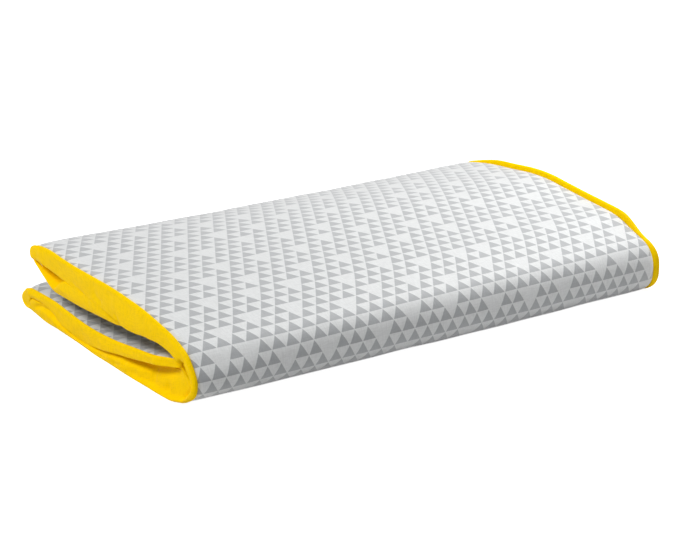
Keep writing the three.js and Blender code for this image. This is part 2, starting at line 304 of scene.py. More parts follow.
def groove(x):
    """How far in the face lies beside its stitched seams."""
    edge = np.maximum(HALF_SEAM - np.abs(x), 0)
    return SEAM_DIP * np.exp(-(edge / SEAM_DIP_REACH) ** 2) + SEAM_ROLL * np.exp(-edge / SEAM_ROLL_REACH)


def cloth(s, x, depth):
    """Places in millimetres on the layer at that depth under the printed face."""
    point, inward = path_at(s)
    place = point + inward * (depth + sunk(s, x) + groove(x))[..., None]
    return settled(place[..., 0], place[..., 1], x)


# Meshes

def volume(points, quads):
    """Volume inside a closed mesh, below zero where its faces point inwards."""
    a, b, c, d = (points[quads[:, k]] for k in range(4))
    return (a * (np.cross(b, c) + np.cross(c, d))).sum() / 6


def make_piece(name, points, quads, maps, material):
    """A mesh object from places in millimetres. maps holds a value pair for each point, by UV map."""
    if volume(points, quads) < 0:
        quads = quads[:, ::-1]
    mesh = bpy.data.meshes.new(name)
    mesh.from_pydata((points * MM).tolist(), [], quads.tolist())
    for map_name, values in maps.items():
        layer = mesh.uv_layers.new(name=map_name)
        layer.data.foreach_set("uv", values[quads.ravel()].astype(np.float32).ravel())
    mesh.polygons.foreach_set("use_smooth", np.ones(len(quads), bool))
    mesh.materials.append(material)
    mesh.update()
    piece = bpy.data.objects.new(name, mesh)
    bpy.context.scene.collection.objects.link(piece)
    return piece


def slab(name, s, x, depth, thickness, maps, material):
    """A piece between two layers of places. maps holds a value pair for each place, by UV map."""
    rows, columns = s.shape
    count = rows * columns
    points = np.concatenate([cloth(s, x, d).reshape(-1, 3) for d in (depth, depth + thickness)])
    maps = {key: np.tile(values.reshape(-1, 2), (2, 1)) for key, values in maps.items()}
    i, j = np.meshgrid(np.arange(rows - 1), np.arange(columns - 1), indexing="ij")
    a = i * columns + j
    outer = np.stack([a, a + columns, a + columns + 1, a + 1], -1).reshape(-1, 4)
    rim = np.concatenate([
        np.arange(columns), np.arange(1, rows) * columns + columns - 1,
        count - 2 - np.arange(columns - 1), np.arange(rows - 2, 0, -1) * columns])
    after = np.roll(rim, -1)
    quads = [outer, outer[:, ::-1] + count, np.stack([rim, after, after + count, rim + count], -1)]
    return make_piece(name, points, np.concatenate(quads), maps, material)


FINE = (0.2, 0.5, 1.0)  # closer stations next to a cut, so that both sides shade alike


def stations(start, end, spacing):
    even = np.linspace(start, end, int(round((end - start) / spacing)) + 1)
    return np.unique(np.concatenate([even, start + np.array(FINE), end - np.array(FINE)]))


def lattice(s, x):
    """Skewed lattice coordinates of the print, whole numbers at the triangles' corners."""
    v = (mark["nose_lower"] - s) / ROW
    return np.stack([x / TRIANGLE + LATTICE_START - 0.5 * v, v], -1)


def face_inset(s):
    return np.full_like(s, FACE_INSET)


def padding_inset(s):
    """How far the padding stops short of the side seam. It makes room where the band leans in."""
    distance = path_at(s)[0][:, 0]
    hollow = np.where(s < mark["upper_loop"], smooth(distance, *HOLLOW_INSET_GROWS),
                      1 - smooth(s - mark["upper_loop"], *HOLLOW_INSET_FADES))
    low = np.where(s > mark["nose_lower"], 1 - smooth(distance, *LOW_INSET_FADES), 0.0)
    return PADDING_INSET + HOLLOW_INSET * hollow + LOW_INSET * low


def layer_piece(name, start, end, inset, depth, thickness, spacing, material):
    """A slab of one layer, from start to end along the path. inset is its distance from the side seam."""
    s = stations(start, end, spacing)
    share = np.linspace(-1, 1, int(SEAM_WIDTH / spacing) + 1)
    grid_s, grid_x = np.meshgrid(s, share, indexing="ij")
    grid_x = grid_x * (HALF_SEAM - inset(s))[:, None]
    maps = {"thread": np.stack([grid_x, grid_s], -1) * MM, "print": lattice(grid_s, grid_x)}
    return slab(name, grid_s, grid_x, depth, thickness, maps, material)


# Materials

def linear(code):
    """A six-digit sRGB colour as linear red, green, blue and alpha."""
    values = [int(code[k:k + 2], 16) / 255 for k in (0, 2, 4)]
    return [v / 12.92 if v <= 0.04045 else ((v + 0.055) / 1.055) ** 2.4 for v in values] + [1.0]


def add(tree, kind, inputs=None, output=None, **settings):
    """Adds a shader node and gives its first output, or the one named. An input's value is a number, a colour
    or another node's output."""
    node = tree.nodes.new(kind)
    for key, value in settings.items():
        setattr(node, key, value)
    for key, value in (inputs or {}).items():
        if isinstance(value, bpy.types.NodeSocket):
            tree.links.new(value, node.inputs[key])
        else:
            node.inputs[key].default_value = value
    if output:
        return node.outputs[output]
    return next((socket for socket in node.outputs if socket.enabled), None)


def make_material(name, surface):
    """A material. surface adds its nodes and gives back the last shader."""
    material = bpy.data.materials.new(name)
    material.use_nodes = True
    tree = material.node_tree
    tree.nodes.clear()
    add(tree, "ShaderNodeOutputMaterial", {"Surface": surface(tree)})
    return material


THREAD = 1.1  # mm. Real threads lie 0.3 mm apart; they are drawn coarser, so that the grain shows
SLUB = 7.0  # mm, the length over which one thread keeps its thickness
GRAIN = (0.7, 1.3)  # heights of the grain between which the painted shade of the weave passes from its darkest to its palest


def thread_grain(tree, strength, distance):
    """Plain weave: two sets of uneven threads that cross. Gives the height and the normal."""
    place = add(tree, "ShaderNodeUVMap", uv_map="thread")
    sets = []
    for across, along in ((THREAD, SLUB), (SLUB, THREAD)):
        stretched = add(tree, "ShaderNodeMapping", {
            "Vector": place, "Scale": (1 / (across * MM), 1 / (along * MM), 1)})
        sets.append(add(tree, "ShaderNodeTexNoise", {
            "Vector": stretched, "Scale": 1.0, "Detail": 2.0, "Roughness": 0.6}, noise_dimensions="2D"))
    height = add(tree, "ShaderNodeMath", {0: sets[0], 1: sets[1]}, operation="ADD")
    normal = add(tree, "ShaderNodeBump", {"Height": height, "Strength": strength, "Distance": distance * MM})
    return height, normal


def painted_weave_shade(tree, colour, height, low, high):
    """The colour with painted shade in the hollows of the weave, darker where the weave is low."""
    shade = add(tree, "ShaderNodeMapRange", {
        "Value": height, "From Min": GRAIN[0], "From Max": GRAIN[1], "To Min": low, "To Max": high})
    return add(tree, "ShaderNodeMix", {
        "Factor": 1.0, "A": colour, "B": add(tree, "ShaderNodeCombineColor", {
            "Red": shade, "Green": shade, "Blue": shade})},
        data_type="RGBA", blend_type="MULTIPLY")


# Woven cotton with a printed pattern. The weave gives a matt face with a soft haze at a low angle.
PRINT_LINE = 0.015  # pale line between two printed triangles, as a share of a triangle
PRINT_EDGE = 0.014  # softness of the ink's edge
BLOCK = 3.0  # one larger pale triangle in each block of three by three small ones
BLOCK_SEED = 7.3
HALF_CELL = 0.5
PRINT_PALE = "D1D3D3"
PRINT_DARK = "8D9093"
PRINT_SHEEN = 1.0
SHEEN_ROUGHNESS = 0.62


def printed_triangles(tree):
    """1 on a dark triangle and 0 between them. Here and there a larger pale triangle takes four's place."""
    cell = add(tree, "ShaderNodeUVMap", uv_map="print")
    within = add(tree, "ShaderNodeVectorMath", {0: cell}, operation="FRACTION")
    side = add(tree, "ShaderNodeSeparateXYZ", {"Vector": within}).node.outputs
    both = add(tree, "ShaderNodeMath", {0: side["X"], 1: side["Y"]}, operation="ADD")
    third = add(tree, "ShaderNodeMath", {0: 1.0, 1: both}, operation="SUBTRACT")
    lesser = add(tree, "ShaderNodeMath", {0: side["X"], 1: side["Y"]}, operation="MINIMUM")
    nearest = add(tree, "ShaderNodeMath", {0: lesser, 1: third}, operation="MINIMUM")
    triangle = add(tree, "ShaderNodeMapRange", {
        "Value": nearest, "From Min": PRINT_LINE - PRINT_EDGE, "From Max": PRINT_LINE + PRINT_EDGE},
        interpolation_type="SMOOTHSTEP")

    parts = add(tree, "ShaderNodeVectorMath", {0: cell, 1: (1 / BLOCK, 1 / BLOCK, 0)}, operation="MULTIPLY")
    block = add(tree, "ShaderNodeVectorMath", {0: parts}, operation="FLOOR")
    whole = add(tree, "ShaderNodeVectorMath", {0: cell}, operation="FLOOR")
    place = add(tree, "ShaderNodeVectorMath", {
        0: block, 1: (-BLOCK, -BLOCK, 0), 2: whole}, operation="MULTIPLY_ADD")
    seeded = add(tree, "ShaderNodeVectorMath", {0: block, 1: (0, 0, BLOCK_SEED)}, operation="ADD")
    chance = add(tree, "ShaderNodeTexWhiteNoise", {"Vector": seeded}, "Color", noise_dimensions="3D")
    doubled = add(tree, "ShaderNodeVectorMath", {0: chance, 1: (2, 2, 0)}, operation="MULTIPLY")
    chosen = add(tree, "ShaderNodeVectorMath", {0: doubled}, operation="FLOOR")
    apart = add(tree, "ShaderNodeVectorMath", {0: place, 1: chosen}, operation="DISTANCE")
    kept = add(tree, "ShaderNodeMath", {0: apart, 1: HALF_CELL}, operation="GREATER_THAN")
    return add(tree, "ShaderNodeMath", {0: triangle, 1: kept}, operation="MULTIPLY")


def printed_weave(tree):
    height, normal = thread_grain(tree, strength=0.35, distance=0.25)
    printed = add(tree, "ShaderNodeMix", {
        "Factor": printed_triangles(tree), "A": linear(PRINT_PALE), "B": linear(PRINT_DARK)},
        data_type="RGBA")
    # The print gets painted shade in the hollows of the weave.
    return add(tree, "ShaderNodeBsdfPrincipled", {
        "Base Color": painted_weave_shade(tree, printed, height, low=0.9, high=1.06), "Normal": normal,
        "Roughness": 0.6, "Sheen Weight": PRINT_SHEEN, "Sheen Roughness": SHEEN_ROUGHNESS,
        "Specular IOR Level": 0.6})


printed_cotton = make_material("printed_cotton_weave", printed_weave)


# Dyed plain-weave cotton of the band, pressed along its folds
BAND_YELLOW = "FFD200"


def dyed_weave(tree):
    height, normal = thread_grain(tree, strength=0.3, distance=0.2)
    # The yellow gets painted shade in the hollows of the weave.
    return add(tree, "ShaderNodeBsdfPrincipled", {
        "Base Color": painted_weave_shade(tree, linear(BAND_YELLOW), height, low=0.92, high=1.05), "Normal": normal,
        "Roughness": 0.5, "Specular IOR Level": 0.03})


band_cotton = make_material("dyed_band_cotton", dyed_weave)


# Open-cell polyurethane foam: cream, matt, with fine pores that have painted shade in them
PORE = 0.9  # mm, drawn about twice as coarse as real ones


def open_foam(tree):
    place = add(tree, "ShaderNodeTexCoord", output="Object")
    cells = add(tree, "ShaderNodeTexVoronoi", {"Vector": place, "Scale": 1 / (PORE * MM)})
    normal = add(tree, "ShaderNodeBump", {"Height": cells, "Strength": 0.6, "Distance": 0.4 * MM})
    # Darker at the middle of each pore, where the bump is lowest: painted shade.
    colour = add(tree, "ShaderNodeMix", {
        "Factor": cells, "A": linear("D9CFAE"), "B": linear("F1E9CF")},
        data_type="RGBA")
    return add(tree, "ShaderNodeBsdfPrincipled", {
        "Base Color": colour, "Normal": normal, "Roughness": 0.95, "Specular IOR Level": 0.2})


foam_sheet = make_material("polyurethane_foam", open_foam)


# Needled felt of mixed short fibres: off-white, matt, with painted shade in the hollows between the fibres
FIBRE = (0.5, 6.0)  # mm across and along a fibre, drawn coarser than real ones
FIBRE_TURNS = (0.4, 1.9)  # radians


def felted_fibres(tree):
    place = add(tree, "ShaderNodeUVMap", uv_map="thread")
    sets = []
    for turn in FIBRE_TURNS:
        stretched = add(tree, "ShaderNodeMapping", {
            "Vector": place, "Rotation": (0, 0, turn),
            "Scale": (1 / (FIBRE[0] * MM), 1 / (FIBRE[1] * MM), 1)})
        sets.append(add(tree, "ShaderNodeTexNoise", {
            "Vector": stretched, "Scale": 1.0, "Detail": 3.0, "Distortion": 0.8}, noise_dimensions="2D"))
    height = add(tree, "ShaderNodeMath", {0: sets[0], 1: sets[1]}, operation="ADD")
    normal = add(tree, "ShaderNodeBump", {"Height": height, "Strength": 0.5, "Distance": 0.4 * MM})
    # Painted shade in the hollows between the fibres, darker where they lie low.
    return add(tree, "ShaderNodeBsdfPrincipled", {
        "Base Color": painted_weave_shade(tree, linear("DAD7CF"), height, low=0.8, high=1.05), "Normal": normal,
        "Roughness": 1.0, "Specular IOR Level": 0.15})


felt = make_material("needled_felt", felted_fibres)


# Braided elastic tape: off-white polyester over rubber, with ribs along its length
RIB = 0.9  # mm


def ribbed_tape(tree):
    place = add(tree, "ShaderNodeUVMap", uv_map="thread")
    across = add(tree, "ShaderNodeSeparateXYZ", {"Vector": place})
    turned = add(tree, "ShaderNodeMath", {0: across, 1: 2 * math.pi / (RIB * MM)}, operation="MULTIPLY")
    ribs = add(tree, "ShaderNodeMath", {0: turned}, operation="SINE")
    raised = add(tree, "ShaderNodeMath", {0: ribs, 1: 1.0}, operation="ADD")
    normal = add(tree, "ShaderNodeBump", {"Height": ribs, "Strength": 0.5, "Distance": 0.1 * MM})
    # Painted shade in the troughs between the ribs.
    return add(tree, "ShaderNodeBsdfPrincipled", {
        "Base Color": painted_weave_shade(tree, linear("F0F0EA"), raised, low=0.85, high=1.0),
        "Normal": normal, "Roughness": 0.6, "Specular IOR Level": 0.35})


elastic_tape = make_material("braided_elastic", ribbed_tape)


# Woven polyester satin of the blank label: white, with a sheen along the weft
def plain_satin(tree):
    height, normal = thread_grain(tree, strength=0.15, distance=0.1)
    # The white gets painted shade in the hollows of the weave.
    return add(tree, "ShaderNodeBsdfPrincipled", {
        "Base Color": painted_weave_shade(tree, linear("F7F7F5"), height, low=0.95, high=1.0), "Normal": normal,
        "Roughness": 0.42, "Anisotropic": 0.4, "Specular IOR Level": 0.5})


satin = make_material("polyester_satin", plain_satin)


# The lengths of the cover between its cuts, and the body that each belongs to

BOTTOM_CUT = 262  # distance at which the bottom leaf is cut
bottom = on(path_along, "bottom", "lower_loop")
cut = float(np.interp(BOTTOM_CUT, path_points[bottom, 0], path_along[bottom]))

LENGTHS = {
    "upper": (0.0, mark["nose_lower"], "top"),
    "front": (mark["nose_lower"], cut, "nose"),
    "back": (cut, mark["end"], "lower"),
}


def settle(piece, length, form):
    """Bakes the transform of a piece of the upper or front length, hangs a piece of the back length on the
    lower body, and hides the plain solid that it stands for.
    """
    body = LENGTHS[length][2]
    if length == "upper":
        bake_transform(piece)
    elif length == "front":
        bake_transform(piece)
    else:
        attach(piece, "lower")
    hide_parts(body + "_" + form)


LAYERS = [  # name, distance from the side seam, depth, thickness, spacing of the mesh, material
    ("printed_face_", face_inset, 0.0, COTTON, FACE_SPACING, printed_cotton),
    ("foam_", padding_inset, FOAM_DEPTH, FOAM, PADDING_SPACING, foam_sheet),
    ("felt_", padding_inset, FELT_DEPTH, FELT, PADDING_SPACING, felt),
]


def add_layers():
    for length, (start, end, _) in LENGTHS.items():
        face, foam, lining = (layer_piece(name + length, start, end, *sizes) for name, *sizes in LAYERS)
        for piece, form, name in ((face, "printed_cover", "printed_cotton"), (foam, "foam_pad", "foam_sheet"),
                                  (lining, "felt_lining", "felt")):
            settle(piece, length, form)


add_layers()


# The band: from the seam out over a rounded ridge, down a wall to the hem, and in under the cover

WALL_DEPTH = 9.1  # of a turned-in leaf
# Depth of the wall round the nose, up to the place where it laps over the turned-in leaf's
NOSE_WALL = [(0, 14), (12, 13.6), (22, 13.9), (34, 14.0), (48, 15.2), (62, 18.2), (75, 20)]
UPPER_WALL_EXTRA = 4.3  # the upper turned-in leaf's wall is deeper near its back
EXTRA_SPAN = ((131, 184), (193, 213))
# Depth of the lower turned-in leaf's wall by distance. It hangs furthest down near the back.
LOWER_WALL = [(20, 6.9), (52, 7.0), (71, 7.1), (94, 7.4), (115, 8.4), (133, 9.8), (150, 12.4), (165, 13.8),
              (180, 13.8), (193, 12.8), (206, 12.0), (215, 10.4), (223, 7.8), (231, 6.8), (242, 7.4),
              (258, 8.5)]
CREASE_GAP = 0.25
HOLLOW_FRONT = 193
HOLLOW_LAP = 3.0  # the wall behind the hollow goes up behind the top leaf's hem
HOLLOW_GROWS = (187, 200)
UPPER_TIP = np.array([248.0, 53.0])  # where the walls at a loop meet
UPPER_TIP_GROWS = (238, 256)
LOWER_TIP = np.array([258.0, 15.6])
LOWER_TIP_GROWS = (249, 269)
TOP_WALL_GROWS = (60, 80)  # the top leaf's wall takes over from the nose's
LAP = 10.4  # near the nose the top leaf's band laps over the turned-in leaf's
LAP_FADES = (78, 148)
LOWER_LAP = 0.8  # near the nose the bottom leaf's hem reaches up behind the turned-in leaf's
LOWER_LAP_FADES = (85, 145)


def lerp(a, b, share):
    return a + (b - a) * np.asarray(share)[..., None]


def leaf_line(first, last, depth, gap):
    """Distances and heights of a band's edge that lies along a turned-in leaf."""
    point, inward = path_at(np.linspace(first, last, 500))
    line = point + inward * depth(point[:, 0])[:, None]
    order = np.argsort(line[:, 0])
    return line[order, 0], line[order, 1] + gap


def upper_depth(distance):
    return WALL_DEPTH + UPPER_WALL_EXTRA * between(distance, *EXTRA_SPAN)


def lower_depth(distance):
    return through(LOWER_WALL, distance)


upper_line = leaf_line(-END_RUN, mark["upper_loop"], upper_depth, CREASE_GAP)
lower_line = leaf_line(mark["lower_inner"], mark["end"] + END_RUN, lower_depth, -CREASE_GAP)
ceiling_start = np.interp(HOLLOW_FRONT, *upper_line)


def upper_ceiling(distance):
    """Height of the top leaf's hem: on the turned-in leaf's band, then over the hollow."""
    rise = np.clip((distance - HOLLOW_FRONT) / (UPPER_TIP[0] - HOLLOW_FRONT), 0, 1)
    height = np.where(distance < HOLLOW_FRONT, np.interp(distance, *upper_line),
                      ceiling_start + (UPPER_TIP[1] - ceiling_start) * rise)
    return height - LAP * (1 - smooth(distance, *LAP_FADES))


def lower_floor(distance):
    return np.interp(distance, *lower_line) + LOWER_LAP * (1 - smooth(distance, *LOWER_LAP_FADES))


CAST_START = 10.0  # mm, the first guess
CAST_STEPS = 14
CAST_SHARE = 0.6  # of the way to the next guess


def cast(point, inward, line, tip):
    """Where the inward ray meets the line, no further back than the tip."""
    reach = np.full(len(point), CAST_START)
    for _ in range(CAST_STEPS):
        guess = (line(point[:, 0] + inward[:, 0] * reach) - point[:, 1]) / inward[:, 1]
        reach = (1 - CAST_SHARE) * reach + CAST_SHARE * guess
    met = point + inward * reach[:, None]
    return np.where((met[:, 0] > tip[0])[:, None], tip, met)


def hem_edge(s):
    """The path's points, and the direction and distance from each to the wall's inner edge."""
    point, inward = path_at(s)
    distance = point[:, 0]
    edge = point + inward * through(NOSE_WALL, distance)[:, None]

    part = s < mark["upper_loop"]
    leaf = point + inward * upper_depth(distance)[:, None]
    behind = np.stack([distance, upper_ceiling(distance) + HOLLOW_LAP], -1)
    leaf = lerp(leaf, behind, smooth(distance, *HOLLOW_GROWS))
    edge[part] = lerp(leaf, UPPER_TIP, smooth(distance, *UPPER_TIP_GROWS))[part]
    edge[on(s, "upper_loop", "top_back")] = UPPER_TIP

    part = on(s, "top_back", "nose_upper")
    met = cast(point[part], inward[part], upper_ceiling, UPPER_TIP)
    edge[part] = lerp(edge[part], met, smooth(distance[part], *TOP_WALL_GROWS))

    part = on(s, "nose_lower", "bottom")
    share = (s[part] - mark["nose_lower"]) / (mark["bottom"] - mark["nose_lower"])
    first = np.array([NOSE_WALL[0][1], NOSE_RADIUS])
    last = np.array([NOSE_RADIUS, lower_floor(NOSE_RADIUS)])
    edge[part] = lerp(first, last, share)

    part = on(s, "bottom", "lower_loop")
    edge[part] = cast(point[part], inward[part], lower_floor, LOWER_TIP)
    edge[on(s, "lower_loop", "lower_inner")] = LOWER_TIP

    part = s >= mark["lower_inner"]
    leaf = point + inward * lower_depth(distance)[:, None]
    edge[part] = lerp(leaf, LOWER_TIP, smooth(distance, *LOWER_TIP_GROWS))[part]
    reach = np.linalg.norm(edge - point, axis=1)
    return point, (edge - point) / reach[:, None], reach


def b_spline(controls, steps=4):
    """A smooth line through the middle of its control points. controls is (stations, points, 2)."""
    padded = np.concatenate([controls[:, :1], controls, controls[:, -1:]], 1)
    t = np.linspace(0, 1, steps, endpoint=False)[None, None, :, None]
    p0, p1, p2, p3 = (padded[:, k:padded.shape[1] - 3 + k, None, :] for k in range(4))
    line = ((1 - t) ** 3 * p0 + (3 * t**3 - 6 * t**2 + 4) * p1 + (-3 * t**3 + 3 * t**2 + 3 * t + 1) * p2
            + t**3 * p3) / 6
    line = line.reshape(controls.shape[0], -1, 2)
    end = (padded[:, -3] + 4 * padded[:, -2] + padded[:, -1]) / 6
    return np.concatenate([line, end[:, None]], 1)


BULGE = {"left": 3.4, "right": 6.2}  # how far the wall stands out past the seam
NOSE_BULGE = {"left": 0.0, "right": 1.8}  # added to the wall round the nose
NOSE_BULGE_FADES = (10, 60)
NOSE_BULGE_HEIGHT_FADES = (30, 52)
THIN_BULGE = {"left": 0.0, "right": 2.2}  # taken off above the nose
THIN_FADES = (14, 36)
THIN_HEIGHT_GROWS = (36, 54)
TUCKED_BULGE = 0.4  # where a wall lies behind another one
UPPER_TUCK_FADES = (100, 150)  # where the turned-in leaves' walls come out from behind
LOWER_TUCK_FADES = (30, 60)
RIDGE = {"left": 1.0, "right": 3.5}  # how far the top leaf's ridge stands proud of the printed face
RIDGE_SPAN = ((14, 50), (205, 258))
LEAF_RIDGE = 2.0  # the same on the turned-in leaves
LEAF_RIDGE_SPAN = ((50, 110), (210, 245))
NOSE_RIDGE = 0.25
RIDGE_DEPTH = 3.6  # from the printed face to the straight wall
HEM_TURN = 1.5  # radius of the fold at the hem
PRESSED = 0.7  # share of the radius that a pressed fold loses
PRESSED_SPAN = ((75, 100), (180, 196))  # in the upper pair of leaves
LOW_PRESSED_FADES = (215, 245)
HEM_PLIES = 2.0  # from one ply of the hem to the other
LOWER_TILT = 0.22
TUNNEL_EDGE = 13.0  # from the wall's foot in to the hem's edge
# The hem's line: (distance in from the wall's foot, ply). 0 is the outer ply and 1 the one turned back.
HEM_LINE = [(2.5, 0), (6, 0), (10, 0), (12.2, 0), (13, 0.25), (13, 0.75), (12.2, 1), (9, 1), (6, 1)]
FLAT_HEM_SPAN = ((57, 66), (130, 152))  # where the top leaf's hem lies flat up its wall
FLAT_HEM_PLIES = 1.6
FLAT_HEM_IN = 1.0  # in from the wall, and up from its foot
FLAT_HEM_UP = 0.4


def hem_place(reach, bulge, turn, flat_hem, tilt, inside, ply):
    """Places on the hem, that far in from the wall's foot. The sizes are those of band_profile."""
    turned = np.stack([bulge - turn - inside, reach - ply * HEM_PLIES - tilt * inside], -1)
    lying = np.stack([bulge - FLAT_HEM_IN - ply * FLAT_HEM_PLIES, reach - FLAT_HEM_UP - inside], -1)
    return lerp(turned, lying, flat_hem)


def band_profile(reach, bulge, ridge, sharp, flat_hem, tilt):
    """Control points (out past the seam, in from the printed face) of the band's middle line. sharp is 1
    where the fold at the hem is pressed flat, flat_hem is 1 where the hem lies up the wall, and tilt is the
    slope at which the hem goes in."""
    one = np.ones_like(reach)
    turn = np.minimum(HEM_TURN * (1 - PRESSED * sharp), 0.3 * reach)
    upper, low = np.minimum(RIDGE_DEPTH, 0.4 * reach), np.maximum(reach - 2.2 * turn, 0.6 * reach)
    # Two points inside the seam, then shares of the bulge, the ridge, the wall's depth and the hem's fold
    wall = [
        (-0.1, 2.0), (0.0, 1.0), (0.25 * bulge, -ridge), (0.6 * bulge, -ridge),
        (0.95 * bulge, 1.0 - 0.6 * ridge), (bulge, upper), (bulge, 0.5 * (upper + low)), (bulge, low),
        (bulge - 0.2 * turn, reach - 0.7 * turn), (bulge - turn, reach),
    ]
    rows = [np.stack([out * one, depth * one], -1) for out, depth in wall]
    rows += [hem_place(reach, bulge, turn, flat_hem, tilt, *place) for place in HEM_LINE]
    return np.stack(rows, 1)


ELASTIC = (5.4, 0.5)  # width and thickness of the tape
ELASTIC_STEPS = 6
ELASTIC_GAP = 1.2  # between the tape and the hem's edge
BETWEEN_PLIES = 0.5


def tape_line(reach, bulge, sharp, flat_hem, tilt):
    """The tape's middle line, between the plies of the hem."""
    turn = HEM_TURN * (1 - PRESSED * sharp)
    furthest = TUNNEL_EDGE - ELASTIC_GAP
    return np.stack([hem_place(reach, bulge, turn, flat_hem, tilt, inside, BETWEEN_PLIES)
                     for inside in np.linspace(furthest - ELASTIC[0], furthest, ELASTIC_STEPS)], 1)


def thicken(line, thickness):
    """A closed ring round each station's middle line."""
    along = np.gradient(line, axis=1)
    along /= np.maximum(np.linalg.norm(along, axis=2, keepdims=True), 1e-9)
    across = np.stack([-along[..., 1], along[..., 0]], -1) * thickness / 2
    return np.concatenate([line + across, (line - across)[:, ::-1]], 1)


def flat_places(line, along):
    """Where each point lies when the strip is flat, in metres: across it and along it."""
    girth = np.cumsum(np.linalg.norm(np.diff(line, axis=1, prepend=line[:, :1]), axis=2), axis=1)
    return np.stack([girth, np.broadcast_to(along[:, None], girth.shape)], -1) * MM


def make_tube(name, material, rings, flat):
    """A piece through the rings, (stations, points, 3), closed at both ends."""
    rows, ring = rings.shape[:2]
    a = np.arange((rows - 1) * ring).reshape(-1, ring)
    b = np.roll(a, -1, axis=1)
    wall = np.stack([a, a + ring, b + ring, b], -1).reshape(-1, 4)
    half = np.arange(ring // 2 - 1)
    lid = np.stack([half, half + 1, ring - 2 - half, ring - 1 - half], -1)
    quads = np.concatenate([wall, lid, (lid + (rows - 1) * ring)[:, ::-1]])
    return make_piece(name, rings.reshape(-1, 3), quads, {"thread": flat.reshape(-1, 2)}, material)


def distance_to(place, line):
    """Distance of each place from a line of points, and how far along the line its foot is, 0 to 1."""
    line = np.array(line, float)
    best = np.full(place.shape[:-1], 1e9)
    share = np.zeros(place.shape[:-1])
    for k, (a, b) in enumerate(zip(line[:-1], line[1:])):
        step = b - a
        t = np.clip(((place - a) @ step) / (step @ step), 0, 1)
        d = np.linalg.norm(place - a - t[..., None] * step, axis=-1)
        nearer = d < best
        best = np.where(nearer, d, best)
        share = np.where(nearer, (k + t) / (len(line) - 1), share)
    return best, share


# Folds pressed into the left and right walls: points (distance, height), depth and half width
LEFT_FOLDS = [
    ([(26, 2.5), (18.5, 8.8), (11.2, 15), (5.8, 20.5)], 2.4, 1.8),
    ([(67.5, 12.4), (60, 11)], 1.3, 5.0),
    ([(46, 8.5), (40, 7)], 1.2, 4.5),
    ([(120, 3.0), (108, 6.0), (98, 11.0)], 1.1, 2.8),
    ([(112, 46), (108, 41), (106, 37)], 1.3, 2.8),
    ([(146, 56), (138, 50), (132, 47)], 0.9, 3.4),
    ([(185, 53), (172, 50), (160, 45)], 0.8, 3.0),
    ([(254, 10), (240, 13.8), (228, 14), (217, 12.6), (203, 5.5)], 2.0, 2.0),
]
RIGHT_FOLDS = [
    ([(5, 22), (12, 23.5), (16, 26)], 1.1, 2.4),
    ([(88, 11), (78, 10)], 0.9, 6.0),
    ([(150, 60), (143, 52), (139, 45)], 0.7, 3.4),
]
FOLD_RUN_OUT = (-0.05, 0.2)  # share of a fold's length over which it runs out at either end
# The nose's band laps over the bottom leaf's along this line, points (height, distance)
LAP_LINE = [(0, 28), (3.8, 24.4), (8.8, 18.5), (15, 11.2), (20.5, 5.8), (25, 6.2), (29.2, 9), (34, 11.8)]
LAP_STEP = 4.4
LAP_STEP_FADES = (60, 110)
LAP_STEP_HEIGHT_FADES = (31, 38)
LAP_SLANT = 0.75  # turns a distance into one square to the line
LAP_EDGE = (-0.3, 1.0)  # mm past the line over which the step comes
HOLLOW_LINE = [(212.5, 36.5), (190.0, 51.5)]  # behind it the turned-in leaf's wall leans in
HOLLOW_LEAN = (2.2, 10.0)  # slope and greatest depth
LEAN_FADES = (2, 12)  # mm past the start of the upper loop
RECESS = (6.2, 1.4)  # near the nose and near the back the bottom leaf's wall stands back by this
RECESS_FADES = (85, 145)
RECESS_SPAN = ((20, 40), (222, 250))
RECESS_LEAST = 0.7  # share of the recess next to the nose
RECESS_GROWS = (45, 70)


def fold_relief(place, folds):
    """How far the wall is pushed in at each place."""
    total = np.zeros(place.shape[:-1])
    for line, depth, half_width in folds:
        d, share = distance_to(place, line)
        total += depth * np.exp(-(d / half_width) ** 2) * smooth(np.minimum(share, 1 - share), *FOLD_RUN_OUT)
    return total


def lap_relief(s, place):
    distance, height = place[..., 0], place[..., 1]
    past = LAP_SLANT * (distance - through(LAP_LINE, height))
    fade = (1 - smooth(distance, *LAP_STEP_FADES)) * (1 - smooth(height, *LAP_STEP_HEIGHT_FADES))
    return LAP_STEP * smooth(past, *LAP_EDGE) * fade * on(s, "nose_upper", "lower_loop")[:, None]


def lean(s, place):
    a, b = np.array(HOLLOW_LINE)
    step = (b - a) / np.linalg.norm(b - a)
    behind = (place - a) @ np.array([step[1], -step[0]])
    slope, most = HOLLOW_LEAN
    share = 1 - smooth(s - mark["upper_loop"], *LEAN_FADES)
    return most * np.tanh(slope * np.maximum(behind, 0) / most) * share[:, None]


def recess(s, distance):
    near_nose, near_back = RECESS
    depth = near_back + (near_nose - near_back) * (1 - smooth(distance, *RECESS_FADES))
    share = RECESS_LEAST + (1 - RECESS_LEAST) * smooth(distance, *RECESS_GROWS)
    return depth * share * between(distance, *RECESS_SPAN) * on(s, "bottom", "lower_loop")


WRINKLES = [  # length of a wrinkle's cell along the band and across it, depth
    (9.0, 26.0, 0.50), (34.0, 14.0, 0.85), (5.0, 9.0, 0.18),
]
WRINKLE_SEED = 11
WRINKLE_CELLS = 64
WRINKLE_START = 50.0  # mm ahead of the path's start
WRINKLE_RIGHT = 20  # cells between the left side's wrinkles and the right side's


